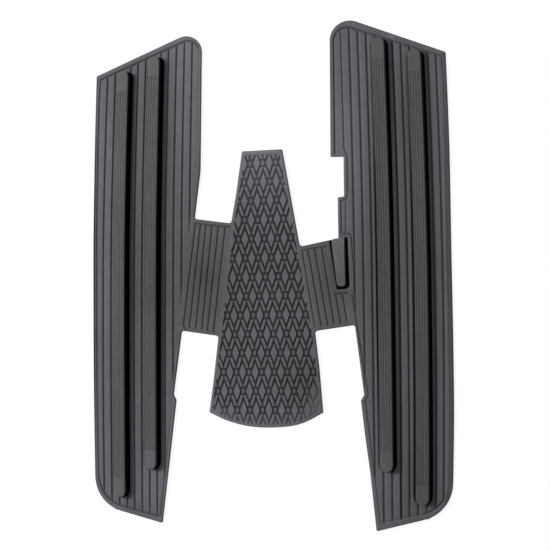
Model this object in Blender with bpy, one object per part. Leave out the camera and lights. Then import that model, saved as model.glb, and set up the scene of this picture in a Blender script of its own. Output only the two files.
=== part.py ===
"""Rubber footboard mat for a step-through scooter.

Two ribbed side mats lie on the floor on either side of the centre tunnel.
A wedge-shaped tread with a diamond pattern covers the top of the tunnel, and
two narrow webs join it to the mats.  Each side mat carries two raised fluted
runners that end in plain caps.  The right mat has a notch for the brake pedal
and, behind it, a tapered flap that is cut free on three sides.

Lengths below are in millimetres; the model itself is in metres.
+X is the rider's right, +Y the front of the scooter, +Z up.
"""
import math

import bmesh
import bpy
from mathutils import Matrix, Vector

MM = 0.001

# ---- driving dimensions -------------------------------------------------
HALF_WIDTH = 200.0        # centre line to the widest point of a side mat
HALF_LENGTH = 270.0       # centre to the front or rear edge
THICK = 3.2               # thickness of mats, webs and tread
SKIN = 0.8                # floor left under the pedal flap
GAP = 0.3                 # clearance between pieces that touch
CREASE_GAP = 0.2          # clearance on each side of a fold line

RIB_PITCH = 9.3           # spacing of the grooves across a mat
FIRST_GROOVE = 189.2      # distance of the outermost groove from the centre
GROOVE_COUNT = 13
GROOVE_WIDTH = 1.8
GROOVE_DEPTH = 1.0
GROOVE_MARGIN = 6.0       # plain rim left at both ends of a groove

RUNNER_BASE = 19.0        # width of a runner where it meets the mat
RUNNER_TOP = 13.6         # width of its tread face
RUNNER_HEIGHT = 7.5       # above the mat
FLUTES = 5
FLUTE_DEPTH = 0.6
# distance from the centre line, front end, front cap joint, rear cap joint, rear end
OUTER_RUNNER = (167.5, 230.0, 207.5, -221.5, -242.8)
INNER_RUNNER = (129.8, 245.5, 223.5, -189.5, -210.8)

WEB_WIDTH = 26.2          # between the two fold lines of a web, square to them
LEFT_SLANT = 0.124        # sideways run of the left fold lines per unit of length
RIGHT_SLANT = -0.160      # the same for the right fold lines
LEFT_RIDGE_X = -49.4      # where the left tread fold crosses y = 0
RIGHT_RIDGE_X = 47.9

DIAMOND_PITCH_X = 14.4
DIAMOND_PITCH_Y = 20.6
DIAMOND_HALF_X = 4.6
DIAMOND_HALF_Y = 8.6
FIELD_DEPTH = 0.9

FLAP_TOP = 5.2            # height of the flap's back
FLAP_HINGE_Y = 34.0
# --------------------------------------------------------------------------

for old in list(bpy.data.objects):
    bpy.data.objects.remove(old, do_unlink=True)

scene = bpy.context.scene


def new_collection(name):
    col = bpy.data.collections.new(name)
    scene.collection.children.link(col)
    return col


PARTS = new_collection("scooter_footboard_mat")
CUTTERS = new_collection("cutters")


def rubber(name, shade, roughness):
    mat = bpy.data.materials.new("rubber_" + name)
    mat.use_nodes = True
    bsdf = mat.node_tree.nodes["Principled BSDF"]
    bsdf.inputs["Base Color"].default_value = (shade, shade * 1.02, shade * 1.09, 1.0)
    bsdf.inputs["Roughness"].default_value = roughness
    bsdf.inputs["Metallic"].default_value = 0.0
    return mat


# ---- outline helpers ------------------------------------------------------

def rounded(corners, step=15.0):
    """Turn (x, y, radius) corners into a polyline with arcs."""
    points = []
    count = len(corners)
    for i, (x, y, radius) in enumerate(corners):
        here = Vector((x, y))
        if radius <= 0.0:
            points.append((x, y))
            continue
        to_last = (Vector(corners[i - 1][:2]) - here).normalized()
        to_next = (Vector(corners[(i + 1) % count][:2]) - here).normalized()
        angle = to_last.angle(to_next)
        centre = here + (to_last + to_next).normalized() * (radius / math.sin(angle / 2))
        reach = radius / math.tan(angle / 2)
        start = here + to_last * reach - centre
        end = here + to_next * reach - centre
        first = math.atan2(start.y, start.x)
        turn = (math.atan2(end.y, end.x) - first + math.pi) % (2 * math.pi) - math.pi
        pieces = max(2, math.ceil(abs(math.degrees(turn)) / step))
        for k in range(pieces + 1):
            a = first + turn * k / pieces
            points.append((centre.x + radius * math.cos(a), centre.y + radius * math.sin(a)))
    return points


def crossings(outline, x):
    """Heights at which the line at x crosses a closed outline, in order."""
    found = []
    for (x0, y0), (x1, y1) in zip(outline, outline[1:] + outline[:1]):
        if (x0 - x) * (x1 - x) < 0.0:
            found.append(y0 + (y1 - y0) * (x - x0) / (x1 - x0))
    return sorted(found)


def fold_x(ridge_x, slant, offset, y):
    """X of a fold line at y; offset is measured square to the tread fold."""
    return ridge_x + offset * math.sqrt(1.0 + slant * slant) + slant * y


def meet(ridge_x, slant, offset, p, q):
    """Point where a fold line crosses the edge from p to q."""
    rise = (q[1] - p[1]) / (q[0] - p[0])
    base = fold_x(ridge_x, slant, offset, 0.0)
    y = (p[1] + rise * (base - p[0])) / (1.0 - rise * slant)
    return base + slant * y, y


# ---- solid helpers --------------------------------------------------------

def link(name, mesh, collection, matrix=None):
    ob = bpy.data.objects.new(name, mesh)
    collection.objects.link(ob)
    if matrix is not None:
        ob.matrix_world = matrix
    return ob


def slab(name, outlines, z0, z1, collection=PARTS, matrix=Matrix.Identity(4)):
    """Closed plate from one or more flat outlines, as a welded mesh object."""
    curve = bpy.data.curves.new(name, "CURVE")
    curve.dimensions = "2D"
    curve.fill_mode = "BOTH"
    curve.extrude = (z1 - z0) / 2 * MM
    for outline in outlines:
        spline = curve.splines.new("POLY")
        spline.points.add(len(outline) - 1)
        for point, (x, y) in zip(spline.points, outline):
            point.co = (x * MM, y * MM, 0.0, 1.0)
        spline.use_cyclic_u = True
    source = link(name + "_outline", curve, collection,
                  matrix @ Matrix.Translation((0, 0, (z0 + z1) / 2 * MM)))
    bpy.context.view_layer.update()
    mesh = bpy.data.meshes.new_from_object(
        source.evaluated_get(bpy.context.evaluated_depsgraph_get()))
    mesh.name = name
    bm = bmesh.new()
    bm.from_mesh(mesh)
    bmesh.ops.remove_doubles(bm, verts=bm.verts, dist=1e-6)
    bmesh.ops.recalc_face_normals(bm, faces=bm.faces)
    bm.to_mesh(mesh)
    bm.free()
    place = source.matrix_world.copy()
    bpy.data.objects.remove(source, do_unlink=True)
    bpy.data.curves.remove(curve)
    return link(name, mesh, collection, place)


def box_cutter(name, boxes):
    """One cutter made of separate boxes: (centre x, centre y, z0, z1, width, length, turn)."""
    bm = bmesh.new()
    for x, y, z0, z1, width, length, turn in boxes:
        place = (Matrix.Translation((x * MM, y * MM, (z0 + z1) / 2 * MM))
                 @ Matrix.Rotation(turn, 4, "Z")
                 @ Matrix.Diagonal((width * MM, length * MM, (z1 - z0) * MM, 1.0)))
        bmesh.ops.create_cube(bm, size=1.0, matrix=place)
    mesh = bpy.data.meshes.new(name)
    bm.to_mesh(mesh)
    bm.free()
    return hide(link(name, mesh, CUTTERS))


def hide(ob):
    ob.hide_render = True
    ob.display_type = "WIRE"
    return ob


def boolean(ob, cutter, operation):
    mod = ob.modifiers.new(operation.lower() + "_" + cutter.name, "BOOLEAN")
    mod.operation = operation
    mod.solver = "EXACT"
    mod.object = cutter
    return mod


def finish(ob, shade=0.085, roughness=0.62):
    ob.data.materials.clear()
    ob.data.materials.append(rubber(ob.name, shade, roughness))
    return ob


def pivot(name, parent, point, along):
    """Empty on a fold line, with its Y axis along the fold."""
    ob = bpy.data.objects.new(name, None)
    ob.empty_display_size = 0.03
    PARTS.objects.link(ob)
    y_axis = Vector(along).normalized()
    z_axis = Vector((0.0, 0.0, 1.0))
    x_axis = y_axis.cross(z_axis)
    turn = Matrix((x_axis, y_axis, z_axis)).transposed().to_4x4()
    adopt(ob, parent, Matrix.Translation(Vector(point) * MM) @ turn)
    return ob


def adopt(ob, parent, world=None):
    """Give ob a parent without moving it."""
    world = ob.matrix_world.copy() if world is None else world
    if parent is not None:
        ob.parent = parent
        ob.matrix_parent_inverse = parent.matrix_world.inverted()
    ob.matrix_world = world
    bpy.context.view_layer.update()


# ---- side mats ------------------------------------------------------------

def outer_edge(y):
    """The outer edge bows gently, widest a little ahead of the middle."""
    bow = 3.1 * ((y - 30.0) / 199.0) ** 2 if y > 30.0 else 3.7 * ((y - 30.0) / 249.0) ** 2
    return HALF_WIDTH - bow


def bow(u, y):
    """Ribs and runners follow the outer edge in front, and less so behind, the further in they lie."""
    full = HALF_WIDTH - outer_edge(y)
    return full if y > 30.0 else full * (u - 110.0) / 90.0


def bend_along(ob, side, u, cuts):
    """Bend a straight piece that runs along Y at u, by sections, to follow the bow."""
    place = ob.matrix_world.copy()
    bm = bmesh.new()
    bm.from_mesh(ob.data)
    bm.transform(place)
    low = min(v.co.y for v in bm.verts)
    high = max(v.co.y for v in bm.verts)
    for k in range(1, cuts + 1):
        bmesh.ops.bisect_plane(bm, geom=bm.verts[:] + bm.edges[:] + bm.faces[:], dist=1e-7,
                               plane_co=(0.0, low + (high - low) * k / (cuts + 1), 0.0), plane_no=(0.0, 1.0, 0.0))
    for v in bm.verts:
        v.co.x -= side * bow(u, v.co.y / MM) * MM
    bm.transform(place.inverted())
    bm.to_mesh(ob.data)
    bm.free()


def groove_cutter(name, side, grooves):
    """One cutter for all the grooves of a mat: (distance from the centre line, rear end, front end)."""
    bm = bmesh.new()
    for u, low, high in grooves:
        rings = []
        for k in range(9):
            y = low + (high - low) * k / 8
            x = side * (u - bow(u, y))
            rings.append([bm.verts.new(((x + dx) * MM, y * MM, z * MM)) for dx, z in (
                (-GROOVE_WIDTH / 2, THICK - GROOVE_DEPTH), (GROOVE_WIDTH / 2, THICK - GROOVE_DEPTH),
                (GROOVE_WIDTH / 2, THICK + 1.0), (-GROOVE_WIDTH / 2, THICK + 1.0))])
        for a, b in zip(rings, rings[1:]):
            for i in range(4):
                j = (i + 1) % 4
                bm.faces.new((a[i], a[j], b[j], b[i]))
        bm.faces.new(rings[0][::-1])
        bm.faces.new(rings[-1])
    bmesh.ops.recalc_face_normals(bm, faces=bm.faces)
    mesh = bpy.data.meshes.new(name)
    bm.to_mesh(mesh)
    bm.free()
    return hide(link(name, mesh, CUTTERS))


def mat_corners(side, inner_corners):
    """Corners of a side mat, from the front inner corner round the outside."""
    corners = [(72.4, 278.3, 17.5), (196.9, 229.1, 2.0)]
    corners += [(outer_edge(y), y, 0.0) for y in range(190, -211, -40)]
    corners += [(195.7, -251.0, 40.0), (117.0, -HALF_LENGTH, 1.5),
                (101.9, -136.5, 1.5), (105.0, -130.5, 2.0)]
    return [(side * x, y, r) for x, y, r in corners] + inner_corners


# edges of the webs: front edge and rear edge, from the mat to the tread
LEFT_WEB_FRONT = ((-81.0, 61.7), (-38.9, 55.2))
LEFT_WEB_REAR = ((-95.8, -60.8), (-53.5, -67.1))
RIGHT_WEB_FRONT = ((69.6, 32.4), (37.6, 27.1))
RIGHT_WEB_REAR = ((96.5, -57.5), (53.4, -63.2))

left_fold = (LEFT_RIDGE_X, LEFT_SLANT)
right_fold = (RIGHT_RIDGE_X, RIGHT_SLANT)

left_corners = mat_corners(-1, [
    LEFT_WEB_REAR[0] + (3.0,),
    meet(*left_fold, -WEB_WIDTH - CREASE_GAP, *LEFT_WEB_REAR) + (0.0,),
    meet(*left_fold, -WEB_WIDTH - CREASE_GAP, *LEFT_WEB_FRONT) + (0.0,),
    LEFT_WEB_FRONT[0] + (3.0,),
    (-74.2, 115.5, 60.0),
])
right_corners = mat_corners(1, [
    RIGHT_WEB_REAR[0] + (3.0,),
    meet(*right_fold, WEB_WIDTH + CREASE_GAP, *RIGHT_WEB_REAR) + (0.0,),
    meet(*right_fold, WEB_WIDTH + CREASE_GAP, *RIGHT_WEB_FRONT) + (0.0,),
    (79.5, 34.6, 0.0),
    (79.5, 78.9, 1.0), (86.4, 79.4, 1.5), (86.4, 122.7, 1.5), (72.2, 123.2, 1.0),
])


def side_mat(name, side, corners, inner_limit):
    outline = rounded(corners)
    ob = slab(name, [outline], 0.0, THICK)
    grooves = []
    for k in range(GROOVE_COUNT):
        u = FIRST_GROOVE - RIB_PITCH * k
        ys = crossings(outline, side * u)
        for low, high in zip(ys[0::2], ys[1::2]):
            low, high = low + GROOVE_MARGIN, high - GROOVE_MARGIN
            if u < 95.0:
                low = max(low, inner_limit)
            if high - low > 20.0:
                grooves.append((u, low, high))
    boolean(ob, groove_cutter(name + "_grooves", side, grooves), "DIFFERENCE")
    return finish(ob)


left_mat = side_mat("left_mat", -1, left_corners, 68.0)
right_mat = side_mat("right_mat", 1, right_corners, 129.0)

# pocket for the pedal flap: open towards the web and the front edge
pocket = slab("flap_pocket", [rounded([
    (60.0, 34.3, 0.0), (89.3, 34.3, 0.0), (91.0, -19.0, 5.0), (60.0, -19.0, 0.0),
])], SKIN, THICK + 1.0, CUTTERS)
boolean(right_mat, hide(pocket), "DIFFERENCE")


# ---- webs -----------------------------------------------------------------

def web(name, fold, sign, front, rear, grooves):
    near, far = sign * CREASE_GAP, sign * (WEB_WIDTH - CREASE_GAP)
    ob = slab(name, [[meet(*fold, near, *front), meet(*fold, far, *front),
                      meet(*fold, far, *rear), meet(*fold, near, *rear)]], 0.0, THICK)
    turn = -math.atan(fold[1])
    middle = (front[0][1] + rear[0][1]) / 2
    length = (front[0][1] - rear[0][1]) - 2 * GROOVE_MARGIN
    boxes = [(x + fold[1] * middle, middle, THICK - GROOVE_DEPTH, THICK + 1.0,
              GROOVE_WIDTH, length, turn) for x in grooves]
    boolean(ob, box_cutter(name + "_grooves", boxes), "DIFFERENCE")
    return finish(ob)


left_web = web("left_web", left_fold, -1, LEFT_WEB_FRONT, LEFT_WEB_REAR, (-67.1, -60.2, -53.0))
right_web = web("right_web", right_fold, 1, RIGHT_WEB_FRONT, RIGHT_WEB_REAR, (51.5, 58.4, 65.6))


# ---- tunnel tread ---------------------------------------------------------

def rear_arc(x, inset=0.0):
    """Rear edge of the tread: an arc 130 mm in radius."""
    return -35.4 - math.sqrt((130.0 - inset) ** 2 - (x + 1.6) ** 2)


TREAD_FRONT = 133.5
ARC_X = [48.0 - 16.0 * k for k in range(7)]
tread_corners = [
    (-26.0, TREAD_FRONT, 1.5), (19.0, TREAD_FRONT, 1.5),
    RIGHT_WEB_FRONT[1] + (4.0,),
    meet(*right_fold, -CREASE_GAP, *RIGHT_WEB_FRONT) + (0.0,),
    meet(*right_fold, -CREASE_GAP, *RIGHT_WEB_REAR) + (0.0,),
    RIGHT_WEB_REAR[1] + (3.0,),
    (57.8, -104.9, 0.0), (61.0, rear_arc(61.0), 1.5),
]
tread_corners += [(x, rear_arc(x), 0.0) for x in ARC_X]
tread_corners += [
    (-64.2, rear_arc(-64.2), 1.5), (-59.8, -115.2, 0.0),
    LEFT_WEB_REAR[1] + (3.0,),
    meet(*left_fold, CREASE_GAP, *LEFT_WEB_REAR) + (0.0,),
    meet(*left_fold, CREASE_GAP, *LEFT_WEB_FRONT) + (0.0,),
    LEFT_WEB_FRONT[1] + (3.0,),
]
tunnel_tread = slab("tunnel_tread", [rounded(tread_corners)], 0.0, THICK)

# the diamond field is sunk below a plain rim
FIELD_LEFT = ((-22.0, 129.5), (-34.8, 55.0), (-50.2, -67.0), (-60.0, -145.0))
FIELD_RIGHT = ((15.4, 129.5), (33.4, 28.0), (50.0, -65.0), (57.2, -145.0))
field = [FIELD_LEFT[0], *FIELD_RIGHT]
field += [(x, rear_arc(x, 4.0)) for x in ARC_X]
field += list(reversed(FIELD_LEFT[1:]))
boolean(tunnel_tread, hide(slab("diamond_field", [field], THICK - FIELD_DEPTH, THICK + 1.0, CUTTERS)),
        "DIFFERENCE")


def field_limits(y):
    """Left and right edge of the field at y."""
    limits = []
    for edge in (FIELD_LEFT, FIELD_RIGHT):
        for (x0, y0), (x1, y1) in zip(edge, edge[1:]):
            if y1 <= y <= y0:
                limits.append(x0 + (x1 - x0) * (y - y0) / (y1 - y0))
                break
    return limits


diamonds = []
for row in range(14):
    y = 120.3 - DIAMOND_PITCH_Y * row
    middle = 0.5 - 0.02 * y + (0.0 if row % 2 else DIAMOND_PITCH_X / 2)
    top, bottom = min(y + DIAMOND_HALF_Y, 129.4), max(y - DIAMOND_HALF_Y, -144.9)
    if y - DIAMOND_HALF_Y < -147.0:
        continue
    left = max(field_limits(v)[0] for v in (top, y, bottom))
    right = min(field_limits(v)[1] for v in (top, y, bottom))
    for column in range(-5, 6):
        x = middle + DIAMOND_PITCH_X * column
        if x - DIAMOND_HALF_X > left + 0.5 and x + DIAMOND_HALF_X < right - 0.5:
            diamonds.append([(x - DIAMOND_HALF_X, y), (x, y - DIAMOND_HALF_Y),
                             (x + DIAMOND_HALF_X, y), (x, y + DIAMOND_HALF_Y)])
boolean(tunnel_tread, hide(slab("diamonds", diamonds, THICK - FIELD_DEPTH - 0.5, THICK - 0.1, CUTTERS)),
        "UNION")
finish(tunnel_tread, 0.070)


# ---- runners and their end caps -------------------------------------------

def runner_profile():
    """Cross-section of a runner: drafted sides and a fluted tread face."""
    pitch = RUNNER_TOP / FLUTES
    profile = [(-RUNNER_BASE / 2, 0.0), (RUNNER_BASE / 2, 0.0), (RUNNER_TOP / 2, RUNNER_HEIGHT - GAP)]
    for k in range(FLUTES - 1, 0, -1):
        x = -RUNNER_TOP / 2 + pitch * k
        profile += [(x + 0.6, RUNNER_HEIGHT - GAP), (x, RUNNER_HEIGHT - GAP - FLUTE_DEPTH),
                    (x - 0.6, RUNNER_HEIGHT - GAP)]
    return profile + [(-RUNNER_TOP / 2, RUNNER_HEIGHT - GAP)]


def end_cap(name, x, joint, end, base):
    """Plain cap: straight at the joint, round at the end, with drafted walls."""
    way = 1.0 if end > joint else -1.0
    half = RUNNER_BASE / 2
    centre = end - way * half
    start = joint + way * GAP / 2
    outline = [(half, start)]
    outline += [(half * math.cos(math.pi * k / 12), centre + way * half * math.sin(math.pi * k / 12))
                for k in range(13)]
    outline += [(-half, start)]
    ob = slab(name, [outline], base, THICK + RUNNER_HEIGHT, PARTS, Matrix.Translation((x * MM, 0, 0)))
    draft = RUNNER_TOP / RUNNER_BASE
    for vert in ob.data.vertices:
        if vert.co.z > 0.0:
            vert.co.x *= draft
            beyond = vert.co.y / MM - centre
            if beyond * way > 0.0:
                vert.co.y = (centre + beyond * draft) * MM
    return finish(ob, 0.080, 0.55)


runner_parts = {-1: [], 1: []}
for side, side_name in ((-1, "left"), (1, "right")):
    for place, spec in (("outer", OUTER_RUNNER), ("inner", INNER_RUNNER)):
        u, front_end, front_joint, rear_joint, rear_end = spec
        name = side_name + "_" + place + "_runner"
        upright = (Matrix.Translation((side * u * MM, (front_joint + rear_joint) / 2 * MM, (THICK + GAP) * MM))
                   @ Matrix.Rotation(math.pi / 2, 4, "X"))
        half = (front_joint - rear_joint - GAP) / 2
        strip = finish(slab(name, [runner_profile()], -half, half, PARTS, upright), 0.060, 0.6)
        front_cap = end_cap(name + "_front_cap", side * u, front_joint, front_end, THICK + GAP)
        rear_cap = end_cap(name + "_rear_cap", side * u, rear_joint, rear_end, THICK + GAP)
        bend_along(strip, side, u, 7)
        bend_along(front_cap, side, u, 0)
        bend_along(rear_cap, side, u, 0)
        runner_parts[side] += [strip, front_cap, rear_cap]

# ---- pedal flap -----------------------------------------------------------
pedal_flap = slab("pedal_flap", [rounded([
    (71.9, 31.6, 0.5), (79.0, 33.6, 0.0), (86.3, 33.8, 0.5), (87.3, -16.8, 4.0), (77.9, -16.4, 4.0),
])], SKIN + GAP, FLAP_TOP)
# the back of the flap slopes down to the mat's surface at its hinge
ramp = box_cutter("flap_ramp", [(80.0, FLAP_HINGE_Y + 2.0, 0.0, 6.0, 40.0, 24.0, 0.0)])
ramp.location = (0.0, 0.0, THICK * MM)
ramp.rotation_euler = (0.0, 0.0, 0.0)
slope = math.atan2(FLAP_TOP - THICK, 10.0)
ramp.matrix_world = (Matrix.Translation((0.0, FLAP_HINGE_Y * MM, THICK * MM))
                     @ Matrix.Rotation(-slope, 4, "X")
                     @ Matrix.Translation((0.0, -FLAP_HINGE_Y * MM, 0.0)))
boolean(pedal_flap, ramp, "DIFFERENCE")
finish(pedal_flap, 0.080)

# ---- fold lines -----------------------------------------------------------
root = bpy.data.objects.new("mat_origin", None)
PARTS.objects.link(root)


def fold_pivot(name, parent, fold, offset, z):
    return pivot(name, parent, (fold_x(*fold, offset, 0.0), 0.0, z), (fold[1], 1.0, 0.0))


left_valley = fold_pivot("left_mat_fold", root, left_fold, -WEB_WIDTH, THICK)
left_ridge = fold_pivot("left_tread_fold", left_valley, left_fold, 0.0, 0.0)
right_ridge = fold_pivot("right_tread_fold", left_ridge, right_fold, 0.0, 0.0)
right_valley = fold_pivot("right_mat_fold", right_ridge, right_fold, WEB_WIDTH, THICK)
flap_hinge = pivot("flap_hinge", right_valley, (82.0, FLAP_HINGE_Y, THICK), (1.0, 0.0, 0.0))

for ob in [left_mat] + runner_parts[-1]:
    adopt(ob, root)
adopt(left_web, left_valley)
adopt(tunnel_tread, left_ridge)
adopt(right_web, right_ridge)
for ob in [right_mat] + runner_parts[1]:
    adopt(ob, right_valley)
adopt(pedal_flap, flap_hinge)
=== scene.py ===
import math

import bmesh
import bpy
import numpy as np
from mathutils import Matrix, Vector
from mathutils.geometry import delaunay_2d_cdt


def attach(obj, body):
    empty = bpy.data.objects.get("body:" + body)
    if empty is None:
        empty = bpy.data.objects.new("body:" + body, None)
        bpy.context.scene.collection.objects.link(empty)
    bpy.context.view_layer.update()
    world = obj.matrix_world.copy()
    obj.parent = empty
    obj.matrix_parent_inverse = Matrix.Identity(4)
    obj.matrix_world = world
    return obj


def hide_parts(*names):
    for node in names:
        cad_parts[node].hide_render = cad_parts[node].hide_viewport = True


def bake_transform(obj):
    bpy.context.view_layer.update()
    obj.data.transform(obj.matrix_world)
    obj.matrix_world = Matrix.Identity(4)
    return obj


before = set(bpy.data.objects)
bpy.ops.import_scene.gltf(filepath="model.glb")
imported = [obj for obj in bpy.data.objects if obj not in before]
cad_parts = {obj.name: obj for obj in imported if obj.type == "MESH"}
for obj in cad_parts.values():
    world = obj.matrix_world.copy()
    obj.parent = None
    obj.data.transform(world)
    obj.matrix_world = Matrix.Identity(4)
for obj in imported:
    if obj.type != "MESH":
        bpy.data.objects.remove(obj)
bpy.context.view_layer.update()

# Lengths are in millimetres until a mesh is made; the scene is in metres.
MM = 0.001
T = 3.2                      # top of the mat, webs and tread
GROOVE = 1.0                 # half width of a groove
# how far the top has dropped, and how much painted shade darkens it, by the distance from the edge:
# most edges are only eased; the outer ones are bevelled, the left more than the right; the painted shade stands in for
# the shade on the rounded edges
EASED = ((0.0, 0.9, 0.20), (0.2, 0.5, 0.12), (0.5, 0.22, 0.05), (1.0, 0.05, 0.0), (1.6, 0.0, 0.0))
LEFT_BEVEL = ((0.0, 1.3, 0.45), (0.5, 0.9, 0.34), (1.0, 0.7, 0.30), (1.6, 0.6, 0.32), (2.7, 0.5, 0.2), (3.4, 0.3, 0.05), (4.2, 0.05, 0.0), (4.9, 0.0, 0.0))
RIGHT_BEVEL = ((0.0, 1.5, 0.30), (0.5, 0.85, 0.22), (1.6, 0.55, 0.16), (2.7, 0.45, 0.18), (3.4, 0.42, 0.22), (4.2, 0.30, 0.20), (4.9, 0.0, 0.0))
EDGE_LINES = (0.2, 0.5, 1.0, 1.6, 2.7, 3.4, 4.2, 4.9)
LIP = ((0.32, 1.0), (0.62, 0.78), (1.0, 0.36), (1.4, 0.12), (1.9, 0.0))


# ---------------------------------------------------------------- flat geometry

def smooth(x):
    x = np.clip(x, 0.0, 1.0)
    return x * x * (3.0 - 2.0 * x)


def unit(v):
    return v / np.maximum(np.linalg.norm(v, axis=1), 1e-9)[:, None]


def rounded(corners, closed=True, step=9.0):
    """(x, y, radius) corners to points, with arcs at the corners."""
    points = []
    count = len(corners)
    for i, (x, y, radius) in enumerate(corners):
        here = Vector((x, y))
        if radius <= 0.0 or (not closed and i in (0, count - 1)):
            points.append((x, y))
            continue
        to_last = (Vector(corners[i - 1][:2]) - here).normalized()
        to_next = (Vector(corners[(i + 1) % count][:2]) - here).normalized()
        angle = to_last.angle(to_next)
        centre = here + (to_last + to_next).normalized() * (radius / math.sin(angle / 2))
        reach = radius / math.tan(angle / 2)
        start = here + to_last * reach - centre
        end = here + to_next * reach - centre
        first = math.atan2(start.y, start.x)
        turn = (math.atan2(end.y, end.x) - first + math.pi) % (2 * math.pi) - math.pi
        pieces = max(2, math.ceil(abs(math.degrees(turn)) / step))
        for k in range(pieces + 1):
            a = first + turn * k / pieces
            points.append((centre.x + radius * math.cos(a), centre.y + radius * math.sin(a)))
    return np.array(points)


def shifted(path, distance, closed):
    """The path moved sideways, to its left when distance is positive."""
    p = np.asarray(path, float)
    if closed:
        before, after = np.roll(p, 1, 0), np.roll(p, -1, 0)
    else:
        before = np.vstack([2 * p[0] - p[1], p[:-1]])
        after = np.vstack([p[1:], 2 * p[-1] - p[-2]])
    a, b = unit(p - before), unit(after - p)
    na = np.stack([-a[:, 1], a[:, 0]], 1)
    nb = np.stack([-b[:, 1], b[:, 0]], 1)
    n = unit(na + nb)
    return p + n * (distance / np.maximum((n * na).sum(1), 0.4))[:, None]


def segments(path, closed):
    p = np.asarray(path, float)
    return np.stack([p, np.roll(p, -1, 0)], 1) if closed else np.stack([p[:-1], p[1:]], 1)


def nearest(q, segs):
    """Distance from each point to the nearest segment, with that segment and the place along it."""
    a, d = segs[:, 0], segs[:, 1] - segs[:, 0]
    length = np.maximum((d * d).sum(1), 1e-12)
    best = np.full(len(q), 1e9)
    which = np.zeros(len(q), int)
    along = np.zeros(len(q))
    for start in range(0, len(q), 4000):
        s = slice(start, start + 4000)
        r = q[s, None, :] - a
        t = np.clip((r * d).sum(2) / length, 0.0, 1.0)
        gap = np.linalg.norm(r - t[..., None] * d, axis=2)
        k = gap.argmin(1)
        rows = np.arange(len(k))
        best[s], which[s], along[s] = gap[rows, k], k, t[rows, k]
    return best, which, along


def inside(q, polygon):
    """Which points lie in a closed polygon."""
    p = np.asarray(polygon, float)
    nxt = np.roll(p, -1, 0)
    odd = np.zeros(len(q), bool)
    for (x0, y0), (x1, y1) in zip(p, nxt):
        if y0 == y1:
            continue
        span = (y0 > q[:, 1]) != (y1 > q[:, 1])
        odd ^= span & (q[:, 0] < x0 + (x1 - x0) * (q[:, 1] - y0) / (y1 - y0))
    return odd


def crossings(path, x):
    found = []
    for (x0, y0), (x1, y1) in zip(path[:-1], path[1:]):
        if (x0 - x) * (x1 - x) < 0.0:
            found.append(y0 + (y1 - y0) * (x - x0) / (x1 - x0))
    return sorted(found)


def stroke(path, distance):
    """Closed line at one distance all round an open path, with round ends."""
    left = shifted(path, distance, False)
    right = shifted(path, -distance, False)[::-1]
    loop = []
    for side, tip, back in ((left, path[-1], path[-2]), (right, path[0], path[1])):
        loop.extend(side)
        way = math.atan2(tip[1] - back[1], tip[0] - back[0])
        for k in range(1, 5):
            a = way + math.pi / 2 - math.pi * k / 5
            loop.append((tip[0] + distance * math.cos(a), tip[1] + distance * math.sin(a)))
    loop = np.array(loop)
    gap = nearest(loop, segments(path, False))[0]
    return loop[gap > distance - 0.03]


def clip(polygon, edges):
    """The part of a convex polygon to the left of every (point, point) edge."""
    poly = [np.array(p, float) for p in polygon]
    for a, b in edges:
        a, b = np.array(a, float), np.array(b, float)
        n = np.array([-(b - a)[1], (b - a)[0]])
        n /= np.linalg.norm(n)
        out = []
        for p, q in zip(poly, poly[1:] + poly[:1]):
            sp, sq = (p - a) @ n, (q - a) @ n
            if sp >= 0:
                out.append(p)
            if sp * sq < 0:
                out.append(p + (q - p) * sp / (sp - sq))
        poly = out
        if len(poly) < 3:
            return None
    return np.array(poly)


def inset_convex(polygon, distance):
    """A convex polygon drawn in on every side, or None if nothing is left."""
    p = np.asarray(polygon, float)
    if (p[:, 0] * np.roll(p[:, 1], -1) - p[:, 1] * np.roll(p[:, 0], -1)).sum() < 0:
        p = p[::-1]
    d = unit(np.roll(p, -1, 0) - p)
    n = np.stack([-d[:, 1], d[:, 0]], 1)
    return clip(p, [(a + m * distance, a + m * distance + v) for a, m, v in zip(p, n, d)])


# ---------------------------------------------------------------- outline

def outer_edge(side, y):
    """The outer edges bow gently, and the right one a little less in the middle."""
    bow = 3.1 * ((y - 30.0) / 199.0) ** 2 if y > 30.0 else 3.7 * ((y - 30.0) / 249.0) ** 2
    if side < 0:
        return 200.6 - bow + 0.35 * min(max((y - 120.0) / 80.0, 0.0), 1.0) - 0.35 * min(max((20.0 - y) / 40.0, 0.0), 1.0)
    return 199.7 - bow - math.exp(-((y - 25.0) / 85.0) ** 2) + 0.5 * math.exp(-((y + 150.0) / 45.0) ** 2)


def bowed(side, u, y):
    """Ribs and runners follow the bow of the outer edge: place across, at y."""
    if side < 0:
        if y > 30.0:
            return u - 0.00119 * (y - 30.0) ** 1.5 * (0.9 + 0.35 * (u - 105.0) / 83.0)
        return u - 3.2 * ((30.0 - y) / 275.0) ** 2 * (u - 115.0) / 73.5
    if y > 0.0:
        return u - 0.00019 * y ** 1.8 * (0.7 + 0.3 * min(max((u - 85.0) / 60.0, 0.0), 1.0))
    return u - 3.6 * (-y / 240.0) ** 2 * (u - 115.0) / 74.0


def toothed(before, corner, after, at):
    """A rounded rear corner with a small tooth of flash where its arc runs out into the rear edge."""
    arc = rounded([before, corner, after], closed=False, step=6.0)[1:-1]
    side = math.copysign(1.0, corner[0])
    y = float(np.interp(at, np.abs(arc[::-1, 0]), arc[::-1, 1]))
    out = [(x, y, 0.0) for x, y in arc if abs(x) > at + 1.0]
    out += [(side * (at + 0.5), y - 0.35, 0.0), (side * (at - 0.6), y - 0.55, 0.0), (side * (at - 1.1), y - 0.2, 0.0)]
    return out + [(x, y, 0.0) for x, y in arc if abs(x) < at - 2.0]


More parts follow.
